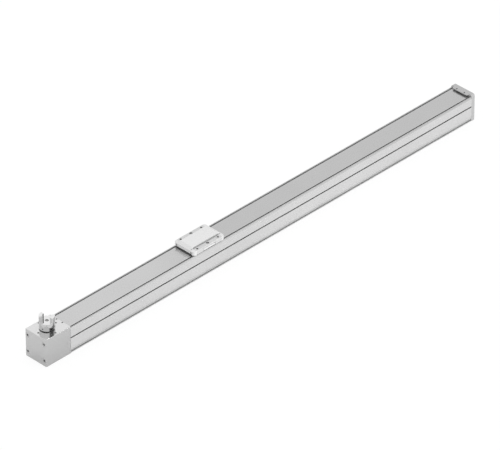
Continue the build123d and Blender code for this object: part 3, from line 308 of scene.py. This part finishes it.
def world_room():
    """White for the camera and glass, plain light for matt surfaces, pale for metal. Only metal
    that is mirrored in metal shows the dark flag."""
    world = bpy.data.worlds.new("room")
    bpy.context.scene.world = world
    world.use_nodes = True
    tree = world.node_tree
    tree.nodes.clear()
    link = tree.links.new
    direction = node(tree, "ShaderNodeTexCoord").outputs["Generated"]
    path = node(tree, "ShaderNodeLightPath")
    split = node(tree, "ShaderNodeSeparateXYZ")
    height = node(
        tree, "ShaderNodeMapRange", interpolation_type="SMOOTHSTEP",
        From_Min=-HORIZON_BLUR, From_Max=HORIZON_BLUR, To_Min=ROOM_BELOW, To_Max=ROOM_ABOVE,
    )
    light = node(tree, "ShaderNodeBackground", Strength=1.0)
    mirrored = node(tree, "ShaderNodeBackground", Strength=1.0)
    white = node(tree, "ShaderNodeBackground", Strength=1.0, Color=WHITE)
    twice = node(tree, "ShaderNodeMath", operation="GREATER_THAN")
    twice.inputs[1].default_value = SECOND_MIRRORING
    level = node(tree, "ShaderNodeMapRange", To_Min=ROOM_MIRRORED)
    seen = node(tree, "ShaderNodeMath", operation="MAXIMUM")
    for_metal = node(tree, "ShaderNodeMixShader")
    for_eye = node(tree, "ShaderNodeMixShader")
    out = node(tree, "ShaderNodeOutputWorld")
    link(direction, split.inputs[0])
    link(split.outputs["Z"], height.inputs["Value"])
    link(height.outputs["Result"], light.inputs["Color"])
    link(path.outputs["Glossy Depth"], twice.inputs[0])
    link(twice.outputs[0], level.inputs["Value"])
    link(flag_level(tree, direction), level.inputs["To Max"])
    link(level.outputs["Result"], mirrored.inputs["Color"])
    link(path.outputs["Is Glossy Ray"], for_metal.inputs[0])
    link(light.outputs[0], for_metal.inputs[1])
    link(mirrored.outputs[0], for_metal.inputs[2])
    link(path.outputs["Is Camera Ray"], seen.inputs[0])
    link(path.outputs["Is Transmission Ray"], seen.inputs[1])
    link(seen.outputs[0], for_eye.inputs[0])
    link(for_metal.outputs[0], for_eye.inputs[1])
    link(white.outputs[0], for_eye.inputs[2])
    link(for_eye.outputs[0], out.inputs["Surface"])


def pale_floor():
    """Plain floor that the object stands on: white with a faint soft shadow to the camera, pale to
    metal, and clear to the room's light and from below, so that the underside is lit as well."""
    mesh = bmesh.new()
    bmesh.ops.create_grid(mesh, x_segments=1, y_segments=1, size=FLOOR_SIZE / 2)
    bmesh.ops.translate(mesh, verts=mesh.verts, vec=(0, 0, cad_low[2] - FLOOR_GAP))
    data = bpy.data.meshes.new("pale_floor")
    mesh.to_mesh(data)
    mesh.free()
    floor = bpy.data.objects.new("pale_floor", data)
    bpy.context.scene.collection.objects.link(floor)
    made = bpy.data.materials.new("pale_floor")
    made.use_nodes = True
    tree = made.node_tree
    tree.nodes.clear()
    link = tree.links.new
    path = node(tree, "ShaderNodeLightPath")
    cloud = node(tree, "ShaderNodeTexNoise", Scale=FLOOR_CLOUD_SCALE, Detail=2.0)
    place = node(tree, "ShaderNodeTexCoord")
    tone = node(
        tree, "ShaderNodeMapRange",
        To_Min=FLOOR_TONE - FLOOR_TONE_SPREAD, To_Max=FLOOR_TONE + FLOOR_TONE_SPREAD,
    )
    surface = node(tree, "ShaderNodeBsdfDiffuse")
    shadowed = node(tree, "ShaderNodeBsdfDiffuse", Color=(SHADOW_ALBEDO, SHADOW_ALBEDO, SHADOW_ALBEDO, 1))
    white = node(tree, "ShaderNodeEmission", Strength=1.0 - FLOOR_SHADOW_SHARE, Color=WHITE)
    both = node(tree, "ShaderNodeAddShader")
    choose = node(tree, "ShaderNodeMixShader")
    side = node(tree, "ShaderNodeNewGeometry")
    light_passes = node(tree, "ShaderNodeMath", operation="MAXIMUM")
    clear = node(tree, "ShaderNodeMath", operation="MAXIMUM")
    open_air = node(tree, "ShaderNodeBsdfTransparent")
    through = node(tree, "ShaderNodeMixShader")
    out = node(tree, "ShaderNodeOutputMaterial")
    link(place.outputs["Object"], cloud.inputs["Vector"])
    link(cloud.outputs["Fac"], tone.inputs["Value"])
    link(tone.outputs["Result"], surface.inputs["Color"])
    link(shadowed.outputs[0], both.inputs[0])
    link(white.outputs[0], both.inputs[1])
    link(path.outputs["Is Camera Ray"], choose.inputs[0])
    link(surface.outputs[0], choose.inputs[1])
    link(both.outputs[0], choose.inputs[2])
    link(path.outputs["Is Diffuse Ray"], light_passes.inputs[0])
    link(path.outputs["Is Shadow Ray"], light_passes.inputs[1])
    link(light_passes.outputs[0], clear.inputs[0])
    link(side.outputs["Backfacing"], clear.inputs[1])
    link(clear.outputs[0], through.inputs[0])
    link(choose.outputs[0], through.inputs[1])
    link(open_air.outputs[0], through.inputs[2])
    link(through.outputs[0], out.inputs["Surface"])
    data.materials.append(made)


def area_light(name, place, aim, size, power):
    """Square light that looks at a point."""
    data = bpy.data.lights.new(name, "AREA")
    data.size = size
    data.energy = power
    lamp = bpy.data.objects.new(name, data)
    lamp.location = place
    lamp.rotation_mode = "QUATERNION"
    lamp.rotation_quaternion = (Vector(aim) - Vector(place)).to_track_quat("-Z", "Y")
    bpy.context.scene.collection.objects.link(lamp)


world_room()
pale_floor()
for name, (place, aim, size, power) in LAMPS.items():
    area_light(name, place, aim, size, power)

scene = bpy.context.scene
scene.view_settings.view_transform = "Standard"
azimuth, elevation, roll = radians(CAMERA_AZIMUTH), radians(CAMERA_ELEVATION), radians(CAMERA_ROLL)
forward = Vector((cos(elevation) * cos(azimuth), cos(elevation) * sin(azimuth), -sin(elevation)))
level = Vector((sin(azimuth), -cos(azimuth), 0))
upright = level.cross(forward)
right = level * cos(roll) + upright * sin(roll)
up = upright * cos(roll) - level * sin(roll)
camera_data = bpy.data.cameras.new("camera")
camera_data.sensor_width = CAMERA_SENSOR
camera_data.lens = CAMERA_LENS
camera_data.clip_start = CAMERA_NEAR
camera_data.clip_end = CAMERA_FAR
camera = bpy.data.objects.new("camera", camera_data)
camera.matrix_world = Matrix.Translation(CAMERA_PLACE) @ Matrix((right, up, -forward)).transposed().to_4x4()
scene.collection.objects.link(camera)
scene.camera = camera
